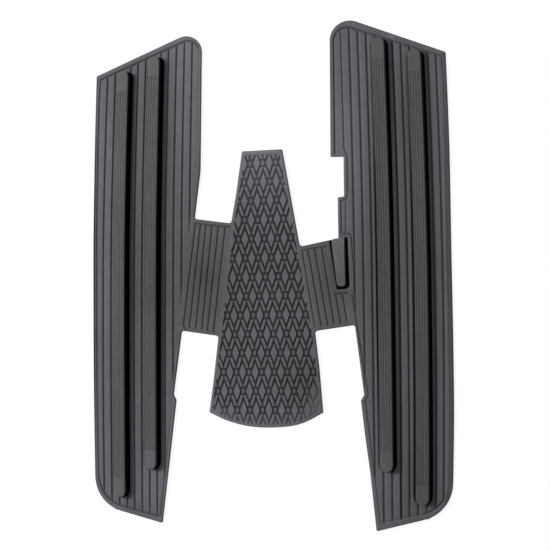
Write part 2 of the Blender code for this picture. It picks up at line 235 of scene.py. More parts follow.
def mat_side(side):
    if side < 0:
        corners = [(-72.2, 276.7, 19.2), (-197.7, 230.0, 2.0)]
    else:
        corners = [(72.9, 281.1, 20.6), (196.7, 228.1, 2.0)]
    corners += [(side * outer_edge(side, y), y, 0.0) for y in range(205, -216, -20)]
    if side < 0:
        corners += toothed(corners[-1], (-195.8, -249.7, 40.0), (-117.7, -269.0, 0.0), 170.6)
        return corners + [(-117.7, -269.0, 1.5), (-102.0, -136.5, 1.5), (-105.1, -130.5, 2.0)]
    corners += toothed(corners[-1], (194.5, -250.4, 40.0), (116.6, -270.9, 0.0), 169.4)
    return corners + [(116.6, -270.9, 1.5), (110.8, -211.0, 0.0), (106.1, -175.0, 0.0), (101.9, -136.5, 1.5), (105.5, -130.5, 2.0)]


def rear_arc(x, inset=0.0):
    """Rear edge of the tread: an arc that sags a little on the right."""
    return -35.4 - math.sqrt((130.0 - inset) ** 2 - (x + 1.6) ** 2) - 1.75 * math.exp(-((x - 36.0) / 19.0) ** 2)


def raised(points):
    """Moves places that were laid out on the floor up to the rubber's top, along the line of sight."""
    p = np.asarray(points, float)
    return p + (np.array((299.3, -97.8)) - p) * (T / 1146.0)


ARC = [8.0 * k for k in range(-6, 7)]
FLAP = [(79.9, 35.1, 0.6), (73.7, 34.2, 0.6), (72.4, 32.6, 0.5), (78.5, -16.7, 4.0), (87.9, -17.1, 4.0), (86.9, 35.2, 0.6)]
outline_corners = mat_side(-1)
outline_corners += [(-95.8, -60.8, 2.5), (-53.5, -67.1, 3.0), (-59.2, -115.2, 0.0), (-63.9, rear_arc(-63.9), 1.5)]
outline_corners += [(x, rear_arc(x), 0.0) for x in ARC]
outline_corners += [(61.4, rear_arc(61.4), 1.5), (58.0, -104.9, 0.0), (53.4, -63.2, 3.0), (96.5, -57.5, 2.5)]
outline_corners += mat_side(1)[::-1]
outline_corners += [(72.3, 123.0, 1.0), (86.5, 122.6, 1.5), (86.5, 79.4, 1.5), (79.7, 78.8, 1.0)]
outline_corners += FLAP
outline_corners += [(89.9, 35.1, 0.6), (91.6, -19.2, 5.0), (78.1, -19.2, 0.5), (70.2, 33.3, 0.5), (37.6, 27.3, 4.0)]
outline_corners += [(18.9, 134.2, 1.5), (-26.3, 134.2, 1.5), (-33.3, 86.0, 0.0), (-38.9, 55.4, 3.0), (-81.0, 61.9, 3.0),
                    (-74.2, 115.5, 60.0)]
OUTLINE = rounded(outline_corners)
FLAP_SHAPE = rounded(FLAP)


# ---------------------------------------------------------------- grooves

grooves = []                 # (path, half width, depth along the path)


def groove(path, depth=1.05, width=GROOVE):
    path = raised(path)
    grooves.append((path, width, np.broadcast_to(np.asarray(depth, float), len(path)).copy()))


def rim_path(side, start, corner, end):
    """Groove just inside the rim of a mat, from the inner edge over the front and round to the rear."""
    corners = list(start) + [corner]
    corners += [(outer_edge(side, y) - 3.3, y, 0.0) for y in range(200, -206, -15)]
    corners += [(192.0, -246.2, 37.0)] + list(end)
    return rounded([(side * u, y, r) for u, y, r in corners], closed=False)


left_rim = rim_path(-1, [(78.4, 118.0, 0.0), (75.4, 269.4, 13.5)], (193.9, 226.2, 1.5),
                    [(120.4, -262.6, 1.5), (106.4, -137.0, 1.5), (109.4, -130.0, 1.5), (100.6, -64.0, 0.0)])
weight = np.ones(len(left_rim))
u, y = -left_rim[:, 0], left_rim[:, 1]
weight = np.where((u < 95) & (y > 0), 0.13 + 0.87 * smooth((y - 246) / 14.0), weight)
weight = np.where((u < 122) & (y < 0), 0.2 + 0.7 * smooth((-238 - y) / 20.0), weight)
groove(left_rim, 1.0 * weight, 1.15)

right_rim = rim_path(1, [(77.0, 127.2, 0.0), (76.9, 270.6, 14.0)], (192.4, 224.8, 1.5),
                     [(121.0, -262.4, 1.5), (107.0, -137.2, 1.5), (110.0, -130.2, 1.5), (94.2, -25.0, 0.0)])
u, y = right_rim[:, 0], right_rim[:, 1]
weight = np.where((u > 188) & (y > -235), 0.2 + 0.6 * smooth((y - 190.0) / 30.0), 1.0)
weight = np.where((y < -225) & (u < 165), 0.45, weight)
weight = np.where((u < 122) & (y < 0) & (y > -255), 0.75, weight)
groove(right_rim, 1.0 * weight)

LEFT_RIBS = (189.1, 179.6, 170.3, 161.0, 152.1, 142.7, 133.5, 124.5, 115.5, 105.9, 96.4, 87.1)
RIGHT_RIBS = (189.8, 181.1, 171.8, 162.5, 153.2, 143.9, 134.5, 125.1, 115.7, 106.5, 97.0, 87.6)


def rib_groove(side, u, low, high, fade_low=0.0):
    ys = np.linspace(low, high, max(3, int((high - low) / 12.0)))
    path = [(side * bowed(side, u, y), y) for y in ys]
    # the groove at 143.9, right of the right inner runner, is cut deeper and so painted darker, to stay dark inside the
    # painted light patch there
    depth = np.full(len(ys), 1.6 if u == 143.9 else 1.1)
    if fade_low:
        depth *= 0.05 + 0.95 * smooth((ys - low) / fade_low)
    groove(path, depth, GROOVE if side < 0 else 1.18)


for side, ribs, rim in ((-1, LEFT_RIBS, left_rim), (1, RIGHT_RIBS, right_rim)):
    for k, u in enumerate(ribs):
        ends = crossings(rim, side * bowed(side, u, 230.0)) if k > 0 else crossings(rim, side * bowed(side, u, 215.0))
        high = max(ends)
        low = min(crossings(rim, side * bowed(side, u, -240.0)), default=-200.0)
        if k == 0:
            low = min(crossings(rim, side * bowed(side, u, -215.0)))
        fade = 0.0
        if k == 9:
            low = -129.0 if side < 0 else -131.0
            fade = 25.0
        if k == 10:
            low, fade = (-30.0, 20.0) if side < 0 else (-43.0, 0.0)
        if k == 11:
            if side > 0:
                continue
            low, fade = 46.0, 18.0
        rib_groove(side, u, low, high, fade)

# right mat, round the pedal notch and the flap's frame
top_11 = max(crossings(right_rim, bowed(1, 87.6, 230.0)))
groove(rounded([(bowed(1, 87.6, top_11), top_11, 0), (bowed(1, 87.6, 180.0), 180.0, 0), (87.0, 131.5, 4.0),
                (90.7, 121.0, 4.0), (90.2, 80.5, 2.5), (87.6, 76.0, 1.5), (83.0, 75.6, 0.8), (83.2, 41.5, 2.0),
                (84.4, 39.4, 0.0)], closed=False), 0.85, 0.8)
groove([(88.0, 75.6), (87.7, 40.2)], np.array([0.7, 0.6]), 0.75)
groove(rounded([(86.4, 40.2, 0), (93.3, 39.2, 1.2), (94.1, 33.5, 2.0), (95.5, 10.0, 0)], closed=False), 0.8, 0.8)

# webs
groove([(-81.0, 57.6), (-67.7, 55.2), (-55.4, 53.4), (-40.6, 51.6)], 0.75, 0.75)
for top, bottom in (((-80.1, 57.0), (-94.0, -55.0)), ((-74.4, 55.3), (-87.0, -57.4)), ((-68.0, 54.6), (-79.6, -58.4)),
                    ((-61.1, 53.8), (-72.7, -59.4)), ((-53.7, 53.0), (-66.3, -60.6)), ((-46.0, 52.0), (-59.4, -62.0))):
    path = [top, bottom] if top[0] > -80 else rounded([top + (0,), bottom + (3.0,), (-91.3, -59.8, 0)], closed=False)
    groove(path, 0.85, 0.88)
groove([(39.6, 23.6), (53.5, 25.3), (66.4, 27.0)], 0.75, 0.75)
for top, bottom in (((40.2, 23.4), (53.2, -57.6)), ((46.6, 24.4), (60.4, -57.7)), ((53.9, 25.2), (67.4, -57.3)),
                    ((61.8, 26.2), (74.1, -55.0)), ((76.2, -24.0), (81.3, -55.6)), ((83.4, -24.0), (88.2, -53.8))):
    groove([top, bottom], 0.85, 0.86)
groove([(66.0, 26.4), (68.4, 10.0)], np.array([0.45, 0.05]), 0.7)
groove([(74.9, -24.2), (81.4, -23.9), (89.2, -23.3)], 0.85, 0.8)
# faint moulding lines across the flap
groove([(79.4, -11.8), (85.8, -11.9)], 0.18, 0.6)
groove([(74.6, 29.2), (84.6, 30.8)], 0.15, 0.6)


# ---------------------------------------------------------------- diamond tread

FIELD = raised([(-23.9, 129.8), (-35.9, 55.0), (-50.9, -67.0), (-61.3, -146.6)]
               + [(x, rear_arc(x, 2.2)) for x in ARC]
               + [(58.3, -146.6), (50.4, -65.5), (34.0, 27.4), (16.1, 129.8)])
PITCH, ROW = 14.4, 20.58
ROWS = 14


def row_y(k):
    return 120.8 - ROW * k


def row_x(k):
    return 0.5 - 0.02 * row_y(k) + (PITCH / 2 if k % 2 == 0 else 0.0)


field_inner = shifted(FIELD, 0.4, True)
field_edges = [(a, b) for a, b in zip(field_inner, np.roll(field_inner, -1, 0))]


def diamond_at(k, column):
    """The moulded pattern is not quite regular: it drifts a little to the left and to the rear."""
    x, y = row_x(k) + PITCH * column, row_y(k)
    drift = np.interp(y, (-127.0, -84.0, -41.0, 2.0, 45.0, 110.0), (1.25, 1.31, 1.63, 1.63, 1.52, 1.09))
    spread = np.interp(y, (-127.0, -84.0, -41.0, 26.0, 110.0), (0.022, 0.009, -0.009, -0.019, -0.005))
    return raised((x - drift - spread * x, y - 1.45 * math.exp(-((y + 35.0) / 95.0) ** 2)))


def square_at(k, column):
    """Centre of the small block between two diamonds of row k."""
    return diamond_at(k, column + 0.5)


islands = []


def island(polygon, height):
    """Keeps a raised shape that reaches into the field; what lies beyond runs out into the rim."""
    if clip(polygon, field_edges) is not None:
        islands.append((np.array(polygon), height))


for k in range(-1, ROWS + 1):
    for column in range(-6, 7):
        x, y = diamond_at(k, column)
        island([(x + 4.15, y), (x, y + 10.7), (x - 4.15, y), (x, y - 10.7)], 1.0)
        cx, cy = square_at(k, column)
        island([(cx + 2.0, cy - 1.5), (cx + 2.0, cy + 1.5), (cx + 1.0, cy + 3.0), (cx - 1.0, cy + 3.0),
                (cx - 2.0, cy + 1.5), (cx - 2.0, cy - 1.5), (cx - 1.0, cy - 3.0), (cx + 1.0, cy - 3.0)], 0.68)
        for step in (0, 1):
            a = square_at(k, column)
            b = square_at(k + 1, column + step - (1 if k % 2 else 0))
            across = np.array((1.85, 0.0))
            p, q = a + (b - a) * 0.21, a + (b - a) * 0.78
            island([p + across, p - across, q - across, q + across], 0.93)


def worn(q):
    """How much of the pattern's height is left: less along the rear edge and in the rear right corner."""
    rear = np.hypot(q[:, 0] + 1.6, q[:, 1] + 35.4)
    keep = 1.0 - 0.22 * smooth((q[:, 1] - 40.0) / 70.0) - 0.4 * smooth((rear - 112.0) / 14.0) * smooth((-70.0 - q[:, 1]) / 20.0)
    return keep * (1.0 - 0.6 * smooth((q[:, 0] - 34.0) / 22.0) * smooth((-105.0 - q[:, 1]) / 35.0))


ISLAND = ((0.0, 0.0), (0.25, 0.62), (0.5, 0.94), (0.8, 1.0))
FIELD_DEPTH, ISLAND_HEIGHT = 0.95, 0.88


groove([(-22.6, 129.4), (-3.0, 130.0), (14.8, 130.4)], 0.5, 0.8)


# ---------------------------------------------------------------- height of the rubber's top

def table(pairs):
    return [p[0] for p in pairs], [p[1] for p in pairs]


OUTLINE_SEGMENTS = segments(OUTLINE, True)
middles = OUTLINE_SEGMENTS.mean(1)
bevelled = (middles[:, 1] < 228.0) & (middles[:, 1] > -238.0)
EDGE_KIND = np.where((middles[:, 0] < -190.0) & bevelled, 1, np.where((middles[:, 0] > 190.0) & bevelled, 2, 0))
FIELD_SEGMENTS = segments(FIELD, True)


def flap_lift(q):
    on = inside(q, shifted(FLAP_SHAPE, 0.0, True)) | (nearest(q, segments(FLAP_SHAPE, True))[0] < 0.02)
    return np.where(on & (q[:, 1] < 34.15), 1.9 * smooth((34.0 - q[:, 1]) / 16.0), 0.0)


def surface(q):
    """Height and painted shading of the rubber at each point: 0 where shade is painted darkest, in grooves, channels
    and on the edges, 1 on the open top.
    """
    gap, which, _ = nearest(q, OUTLINE_SEGMENTS)
    edge, shade = np.zeros(len(q)), np.zeros(len(q))
    for kind, profile in enumerate((EASED, LEFT_BEVEL, RIGHT_BEVEL)):
        here = EDGE_KIND[which] == kind
        edge[here] = np.interp(gap[here], [p[0] for p in profile], [p[1] for p in profile])
        shade[here] = np.interp(gap[here], [p[0] for p in profile], [p[2] for p in profile])
        # painted shade: the left bevel is painted darker along the middle of its length
        if kind == 1:
            shade[here] *= 1.0 + 1.1 * np.exp(-((q[here, 1] - 10.0) / 150.0) ** 4)
    drop = np.zeros(len(q))
    for path, width, depth in grooves:
        low, high = path.min(0) - 3.0, path.max(0) + 3.0
        near = np.flatnonzero((q >= low).all(1) & (q <= high).all(1))
        if not len(near):
            continue
        gap, which, along = nearest(q[near], segments(path, False))
        deep = depth[which] + (depth[np.minimum(which + 1, len(depth) - 1)] - depth[which]) * along
        cut = np.interp(gap / width, *table(LIP)) * deep
        drop[near] = np.maximum(drop[near], cut)
        # painted shade: each groove is painted darker the deeper it is cut, standing in for the shade inside it
        shade[near] = np.maximum(shade[near], 0.37 * np.minimum(cut, 1.6))
    field = inside(q, FIELD)
    border = np.interp(nearest(q, FIELD_SEGMENTS)[0], (0.0, 0.3, 0.65, 1.0), (0.0, 0.45, 0.92, 1.0))
    left_over = worn(q)
    sunk = np.where(field, border * FIELD_DEPTH * left_over, 0.0)
    rise = np.zeros(len(q))
    for polygon, height in islands:
        low, high = polygon.min(0) - 0.2, polygon.max(0) + 0.2
        near = np.flatnonzero((q >= low).all(1) & (q <= high).all(1))
        if not len(near):
            continue
        within = inside(q[near], polygon)
        gap = nearest(q[near], segments(polygon, True))[0]
        rise[near] = np.maximum(rise[near], np.where(within, height * np.interp(gap, *table(ISLAND)), 0.0))
    sunk = np.maximum(sunk - rise * ISLAND_HEIGHT * left_over, 0.0)
    drop = np.maximum(drop, sunk)
    # painted shade: the tread's channels are painted darker by how deep they are sunk, and a little darker where less
    # of the pattern's height is left
    shade = np.maximum(shade, np.where(field, 0.63 * sunk / FIELD_DEPTH + 0.12 * border * (1.0 - left_over), 0.0))
    return T + flap_lift(q) - np.maximum(edge, drop), 1.0 - np.clip(shade, 0.0, 1.0)


# ---------------------------------------------------------------- one rubber sheet, to be cut into pieces

def sheet_mesh():
    lines = [(OUTLINE, True)]
    for distance in EDGE_LINES:
        loop = shifted(OUTLINE, distance, True)
        loop = loop[nearest(loop, OUTLINE_SEGMENTS)[0] > distance - 0.03]
        lines.append((loop, True))
    for path, width, _ in grooves:
        for distance, _ in LIP:
            lines.append((stroke(path, distance * width), True))
    lines.append((FIELD, True))
    for distance in (0.3, 0.65, 1.0):
        lines.append((shifted(FIELD, distance, True), True))
    for polygon, _ in islands:
        lines.append((polygon, True))
        for distance, _ in ISLAND[1:]:
            smaller = inset_convex(polygon, distance)
            if smaller is not None:
                lines.append((smaller, True))
    for y in np.arange(33.5, 17.0, -1.5):
        lines.append((np.array([(72.6 + (31 - y) * 0.124, y), (86.3 + (31 - y) * 0.016, y)]), False))
    points, edges = [], []
    for line, closed in lines:
        first = len(points)
        points.extend(Vector((float(x), float(y))) for x, y in line)
        count = len(line)
        edges.extend((first + i, first + i + 1) for i in range(count - 1))
        if closed:
            edges.append((first + count - 1, first))
    flat, _, faces, *_ = delaunay_2d_cdt(points, edges, [], 0, 0.004, False)
    q = np.array([(v.x, v.y) for v in flat])
    faces = np.array([f[:3] for f in faces], int)
    centre = q[faces].mean(1)
    faces = faces[inside(centre, OUTLINE)]
    a, b, c = q[faces[:, 0]], q[faces[:, 1]], q[faces[:, 2]]
    area = (b[:, 0] - a[:, 0]) * (c[:, 1] - a[:, 1]) - (b[:, 1] - a[:, 1]) * (c[:, 0] - a[:, 0])
    faces[area < 0] = faces[area < 0][:, ::-1]
    used = np.unique(faces)
    q, faces = q[used], np.searchsorted(used, faces)
    z, painted_shading = surface(q)

    bm = bmesh.new()
    shade = bm.verts.layers.float.new("painted_shading")
    top = []
    for (x, y), h, f in zip(q, z, painted_shading):
        v = bm.verts.new((x * MM, y * MM, h * MM))
        v[shade] = f
        top.append(v)
    for i, j, k in faces:
        if len({i, j, k}) == 3:
            try:
                bm.faces.new((top[i], top[j], top[k]))
            except ValueError:
                pass
    bmesh.ops.delete(bm, geom=[v for v in bm.verts if not v.link_faces], context="VERTS")
    # walls and underside, from the rim of the top
    follow = {}
    for e in bm.edges:
        if len(e.link_faces) == 1:
            loop = next(l for l in e.link_loops)
            follow[loop.vert] = loop.link_loop_next.vert
    rings = []
    while follow:
        v = next(iter(follow))
        ring = []
        while v in follow:
            ring.append(v)
            v = follow.pop(v)
        rings.append(ring)
    for ring in rings:
        xy = np.array([(v.co.x / MM, v.co.y / MM) for v in ring])
        low_xy = shifted(xy, 0.3, True)
        mid, low = [], []
        # painted shade: the side walls and the underside are painted near black
        for v, (x, y), (lx, ly) in zip(ring, xy, low_xy):
            m = bm.verts.new((x * MM, y * MM, 0.4 * MM))
            m[shade] = 0.03
            n = bm.verts.new((lx * MM, ly * MM, 0.0))
            n[shade] = 0.03
            mid.append(m)
            low.append(n)
        count = len(ring)
        for i in range(count):
            j = (i + 1) % count
            bm.faces.new((ring[j], ring[i], mid[i], mid[j]))
            bm.faces.new((mid[j], mid[i], low[i], low[j]))
        under = [Vector((float(x), float(y))) for x, y in low_xy]
        flat, _, tris, orig, *_ = delaunay_2d_cdt(under, [(i, (i + 1) % count) for i in range(count)], [], 1, 1e-6, True)
        middle = np.array([np.mean([(flat[i].x, flat[i].y) for i in f], 0) for f in tris])
        for f, within in zip(tris, inside(middle, low_xy)):
            if not within:
                continue
            corner = [low[orig[i][0]] for i in f]
            a, b, c = (v.co for v in corner)
            if (b - a).cross(c - a).z > 0:
                corner = corner[::-1]
            try:
                bm.faces.new(corner)
            except ValueError:
                pass
    bm.normal_update()
    return bm


# ---------------------------------------------------------------- pieces

def plane(x_at_zero, slant, side):
    """A vertical cutting plane along x = x_at_zero + slant * y; side +1 keeps what lies to its right."""
    normal = Vector((1.0, -slant, 0.0)).normalized() * side
    return Vector((x_at_zero * MM, 0.0, 0.0)), normal


def cut(bm, co, no, clear=True):
    geom = bm.verts[:] + bm.edges[:] + bm.faces[:]
    bmesh.ops.bisect_plane(bm, geom=geom, dist=1e-7, plane_co=co, plane_no=no, clear_inner=clear)


def close(bm):
    rim = [e for e in bm.edges if len(e.link_faces) == 1]
    if rim:
        made = bmesh.ops.holes_fill(bm, edges=rim, sides=0)
        bmesh.ops.triangulate(bm, faces=made["faces"])


def to_object(bm, name, material, smooth_angle=52.0):
    bmesh.ops.dissolve_degenerate(bm, dist=2e-7, edges=bm.edges)
    rest = bm.verts.layers.float_vector.get("rest") or bm.verts.layers.float_vector.new("rest")
    for v in bm.verts:
        v[rest] = v.co
    for f in bm.faces:
        f.smooth = True
    mesh = bpy.data.meshes.new(name)
    bm.to_mesh(mesh)
    bm.free()
    mesh.set_sharp_from_angle(angle=math.radians(smooth_angle))
    ob = bpy.data.objects.new(name, mesh)
    bpy.context.scene.collection.objects.link(ob)
    mod = ob.modifiers.new("weighted", "WEIGHTED_NORMAL")
    mod.keep_sharp = True
    mod.weight = 60
    bpy.context.view_layer.update()
    final = bpy.data.meshes.new_from_object(ob.evaluated_get(bpy.context.evaluated_depsgraph_get()))
    ob.modifiers.clear()
    ob.data = final
    bpy.data.meshes.remove(mesh)
    final.name = name
    final.materials.clear()
    final.materials.append(material)
    return ob


# ---------------------------------------------------------------- materials

# painted light and shade, with some scuffing and darker rubber: soft patches painted paler or darker, mostly standing
# in for how the light falls, such as the shadow strips beside the left runners, the lit strip right of the right inner
# runner and the darker middle: centre, reach, gain
PAINTED_LIGHT_PATCHES = (
    ((-75.0, 0.0), (130.0, 190.0), 0.42),
    ((80.0, -10.0), (130.0, 180.0), 0.48),
    ((-92.0, 262.0), (70.0, 120.0), 1.35),
    ((86.0, 130.0), (50.0, 130.0), 1.28),
    ((-4.0, 128.0), (70.0, 110.0), 1.45),
    ((-40.0, -172.0), (60.0, 60.0), 1.25),
    ((42.0, -118.0), (75.0, 75.0), 0.62),
    ((-110.0, -230.0), (80.0, 130.0), 1.25),
    ((210.0, -60.0), (230.0, 520.0), 0.70),
    ((-146.0, 0.0), (27.0, 460.0), 0.68),
    ((-152.0, 20.0), (12.0, 460.0), 0.55),
    ((-66.0, 0.0), (34.0, 95.0), 0.82),
    ((148.0, 242.0), (50.0, 40.0), 1.14),
    ((-115.0, 60.0), (26.0, 420.0), 0.76),
    ((-111.0, 150.0), (13.0, 170.0), 0.55),
    ((94.0, 20.0), (30.0, 240.0), 1.34),
    ((140.4, 25.0), (6.6, 380.0), 2.2),
    ((122.0, 80.0), (16.0, 330.0), 0.60),
    ((155.0, -215.0), (34.0, 190.0), 0.66),
    ((150.0, 170.0), (40.0, 190.0), 0.74),
    ((154.0, 130.0), (13.0, 260.0), 0.66),
)


def rubber(name, light, dark, roughness, grain=1.0, streak=0.0):
    """Moulded rubber: grey on top and painted black where the painted shading is low (walls, grooves and recesses,
    standing in for the shade there), toned by the painted light patches, with a fine matt grain.
    """
    mat = bpy.data.materials.new(name)
    mat.use_nodes = True
    tree = mat.node_tree
    nodes, links = tree.nodes, tree.links
    shader = nodes["Principled BSDF"]

    def node(kind, **values):
        n = nodes.new(kind)
        for key, value in values.items():
            setattr(n, key, value)
        return n

    place = node("ShaderNodeAttribute", attribute_name="rest")
    painted_shading = node("ShaderNodeAttribute", attribute_name="painted_shading")

    def noise(scale, detail, rough=0.55, stretch=None):
        n = node("ShaderNodeTexNoise")
        n.inputs["Scale"].default_value = scale
        n.inputs["Detail"].default_value = detail
        n.inputs["Roughness"].default_value = rough
        if stretch:
            m = node("ShaderNodeMapping")
            m.inputs["Scale"].default_value = stretch
            links.new(place.outputs["Vector"], m.inputs["Vector"])
            links.new(m.outputs["Vector"], n.inputs["Vector"])
        else:
            links.new(place.outputs["Vector"], n.inputs["Vector"])
        return n.outputs["Fac"]

    def spread(value, low, high, to_low, to_high):
        r = node("ShaderNodeMapRange", clamp=True)
        for key, v in zip(("From Min", "From Max", "To Min", "To Max"), (low, high, to_low, to_high)):
            r.inputs[key].default_value = v
        links.new(value, r.inputs["Value"])
        return r.outputs["Result"]

    def math_node(kind, a, b):
        m = node("ShaderNodeMath", operation=kind)
        for socket, v in zip(m.inputs, (a, b)):
            if isinstance(v, (int, float)):
                socket.default_value = v
            else:
                links.new(v, socket)
        return m.outputs["Value"]

    def patch(centre, reach):
        """1 at the centre of a soft round patch, 0 beyond its reach."""
        m = node("ShaderNodeMapping", vector_type="TEXTURE")
        m.inputs["Location"].default_value = (centre[0] * MM, centre[1] * MM, 0.0)
        m.inputs["Scale"].default_value = (reach[0] * MM, reach[1] * MM, 1.0)
        links.new(place.outputs["Vector"], m.inputs["Vector"])
        g = node("ShaderNodeTexGradient", gradient_type="QUADRATIC_SPHERE")
        links.new(m.outputs["Vector"], g.inputs["Vector"])
        return g.outputs["Fac"]

    # random clouds of tone, multiplied below by the painted light and shade patches
    painted_light_and_clouds = spread(noise(14.0, 4.0), 0.3, 0.7, 0.94, 1.06)
    for centre, reach, gain in PAINTED_LIGHT_PATCHES:
        painted_light_and_clouds = math_node("MULTIPLY", painted_light_and_clouds, spread(patch(centre, reach), 0.0, 1.0, 1.0, gain))
    mottle = spread(noise(420.0, 3.0), 0.3, 0.7, 0.91, 1.09)
    runs = spread(noise(60.0, 2.0, 0.5, (9.0, 0.35, 1.0)), 0.3, 0.7, 1.0 - 0.05 - streak, 1.0 + 0.05 + streak)
    tone = math_node("MULTIPLY", math_node("MULTIPLY", painted_light_and_clouds, mottle), runs)

    ramp = node("ShaderNodeValToRGB")
    ramp.color_ramp.interpolation = "LINEAR"
    stops = ramp.color_ramp.elements
    stops[0].position, stops[0].color = 0.0, (*dark, 1.0)
    stops[1].position, stops[1].color = 1.0, (*light, 1.0)
    middle = stops.new(0.45)
    middle.color = (*[0.62 * d + 0.38 * l * 0.55 for d, l in zip(dark, light)], 1.0)
    upper = stops.new(0.85)
    upper.color = (*[l * 0.86 for l in light], 1.0)
    # the painted shading, with a fine speckle of tone, picks the colour from the ramp; it also turns the specular sheen
    # down where shade is painted
    painted_shade_and_speckle = math_node("ADD", painted_shading.outputs["Fac"], spread(noise(900.0, 2.0), 0.3, 0.7, -0.04, 0.04))
    links.new(painted_shade_and_speckle, ramp.inputs["Fac"])
    links.new(spread(painted_shade_and_speckle, 0.05, 0.9, 0.0, 0.35), shader.inputs["Specular IOR Level"])
    scale = node("ShaderNodeVectorMath", operation="SCALE")
    links.new(ramp.outputs["Color"], scale.inputs[0])
    links.new(tone, scale.inputs["Scale"])
    links.new(scale.outputs["Vector"], shader.inputs["Base Color"])

    links.new(spread(noise(160.0, 3.0), 0.3, 0.7, roughness - 0.05, roughness + 0.07), shader.inputs["Roughness"])
    pebble = node("ShaderNodeTexVoronoi", feature="SMOOTH_F1")
    pebble.inputs["Scale"].default_value = 1500.0
    links.new(place.outputs["Vector"], pebble.inputs["Vector"])
    relief = math_node("ADD", math_node("MULTIPLY", pebble.outputs["Distance"], 0.6), noise(2600.0, 2.0))
    bump = node("ShaderNodeBump")
    bump.inputs["Strength"].default_value = 0.22 * grain
    bump.inputs["Distance"].default_value = 0.00012
    links.new(relief, bump.inputs["Height"])
    links.new(bump.outputs["Normal"], shader.inputs["Normal"])
    return mat


MAT = rubber("mat_rubber", (0.080, 0.081, 0.090), (0.005, 0.006, 0.009), 0.64)
TREAD = rubber("tread_rubber", (0.095, 0.096, 0.106), (0.008, 0.009, 0.012), 0.64)
RUNNER = rubber("runner_rubber", (0.052, 0.053, 0.058), (0.001, 0.001, 0.0012), 0.62, streak=0.02)
CAP = rubber("cap_rubber", (0.065, 0.066, 0.072), (0.001, 0.001, 0.0012), 0.60, grain=0.7)
FLAPS = rubber("flap_rubber", (0.112, 0.113, 0.123), (0.001, 0.001, 0.0012), 0.62, grain=0.8)


# ---------------------------------------------------------------- cut the sheet

LEFT_SLANT, RIGHT_SLANT = 0.124, -0.160
L1, L2, L3 = -76.4, -62.1, -46.2
R3, R2, R1 = 46.6, 62.5, 75.5

whole = sheet_mesh()


def strip(name, low, high, material, bend=None):
    """The part of the sheet between two slanted lines; bend gives extra cuts where the rubber bends."""
    bm = whole.copy()
    if low is not None:
        cut(bm, *plane(*low, 1))
    if high is not None:
        cut(bm, *plane(*high, -1))
    close(bm)
    if bend is not None:
        start, end, slant = bend
        for x in np.arange(start, end, 1.1):
            cut(bm, *plane(float(x), slant, 1), clear=False)
    return to_object(bm, name, material) if material else bm


left_mat = strip("left_mat_sheet", None, (L1, LEFT_SLANT), MAT)
left_web_outer = strip("left_web_outer", (L1, LEFT_SLANT), (L2, LEFT_SLANT), MAT, (L1 + 0.6, L2, LEFT_SLANT))
left_web_inner = strip("left_web_inner", (L2, LEFT_SLANT), (L3, LEFT_SLANT), MAT, (L2 + 0.6, L3, LEFT_SLANT))
tread = strip("tread_sheet", (L3, LEFT_SLANT), (R3, RIGHT_SLANT), TREAD)
right_web_inner = strip("right_web_inner", (R3, RIGHT_SLANT), (R2, RIGHT_SLANT), MAT, (R3 + 0.6, R2, RIGHT_SLANT))
right_web_outer = strip("right_web_outer", (R2, RIGHT_SLANT), (R1, RIGHT_SLANT), MAT, (R2 + 0.6, R1, RIGHT_SLANT))

# the right mat, with the flap cut off along its hinge
right = strip("right", (R1, RIGHT_SLANT), None, None)
HINGE = 35.2
box = [f for f in right.faces
       if any(70.0 < v.co.x / MM < 88.0 for v in f.verts) and min(v.co.y for v in f.verts) / MM < HINGE + 1.8
       and max(v.co.y for v in f.verts) / MM > HINGE - 1.2 and max(v.co.x for v in f.verts) / MM < 100.0]
geom = list({v for f in box for v in f.verts}) + list({e for f in box for e in f.edges}) + box
bmesh.ops.bisect_plane(right, geom=geom, dist=1e-7, plane_co=(0, HINGE * MM, 0), plane_no=(0, 1, 0))
right.faces.ensure_lookup_table()
flap_outline = shifted(FLAP_SHAPE, -0.05, True)
middle = np.array([(f.calc_center_median().x / MM, f.calc_center_median().y / MM) for f in right.faces])
on_flap = inside(middle, flap_outline) & (middle[:, 1] < HINGE)
near_edge = (nearest(middle, segments(FLAP_SHAPE, True))[0] < 0.08) & (middle[:, 1] < HINGE)
for f, flag in zip(right.faces, on_flap | near_edge):
    f.select = bool(flag)
flap_bm = right.copy()
bmesh.ops.delete(right, geom=[f for f in right.faces if f.select], context="FACES")
bmesh.ops.delete(flap_bm, geom=[f for f in flap_bm.faces if not f.select], context="FACES")
close(right)
close(flap_bm)
for v in flap_bm.verts:
    if v.co.z < 0.6 * MM:
        v.co.z += 1.05 * MM * float(smooth(np.array((HINGE - v.co.y / MM) / 5.0)))
for y in np.arange(33.4, 24.0, -1.0):
    geom = flap_bm.verts[:] + flap_bm.edges[:] + flap_bm.faces[:]
    bmesh.ops.bisect_plane(flap_bm, geom=geom, dist=1e-7, plane_co=(0, y * MM, 0), plane_no=(0, 1, 0))
right_mat = to_object(right, "right_mat_sheet", MAT)
flap = to_object(flap_bm, "pedal_flap_sheet", FLAPS)
whole.free()


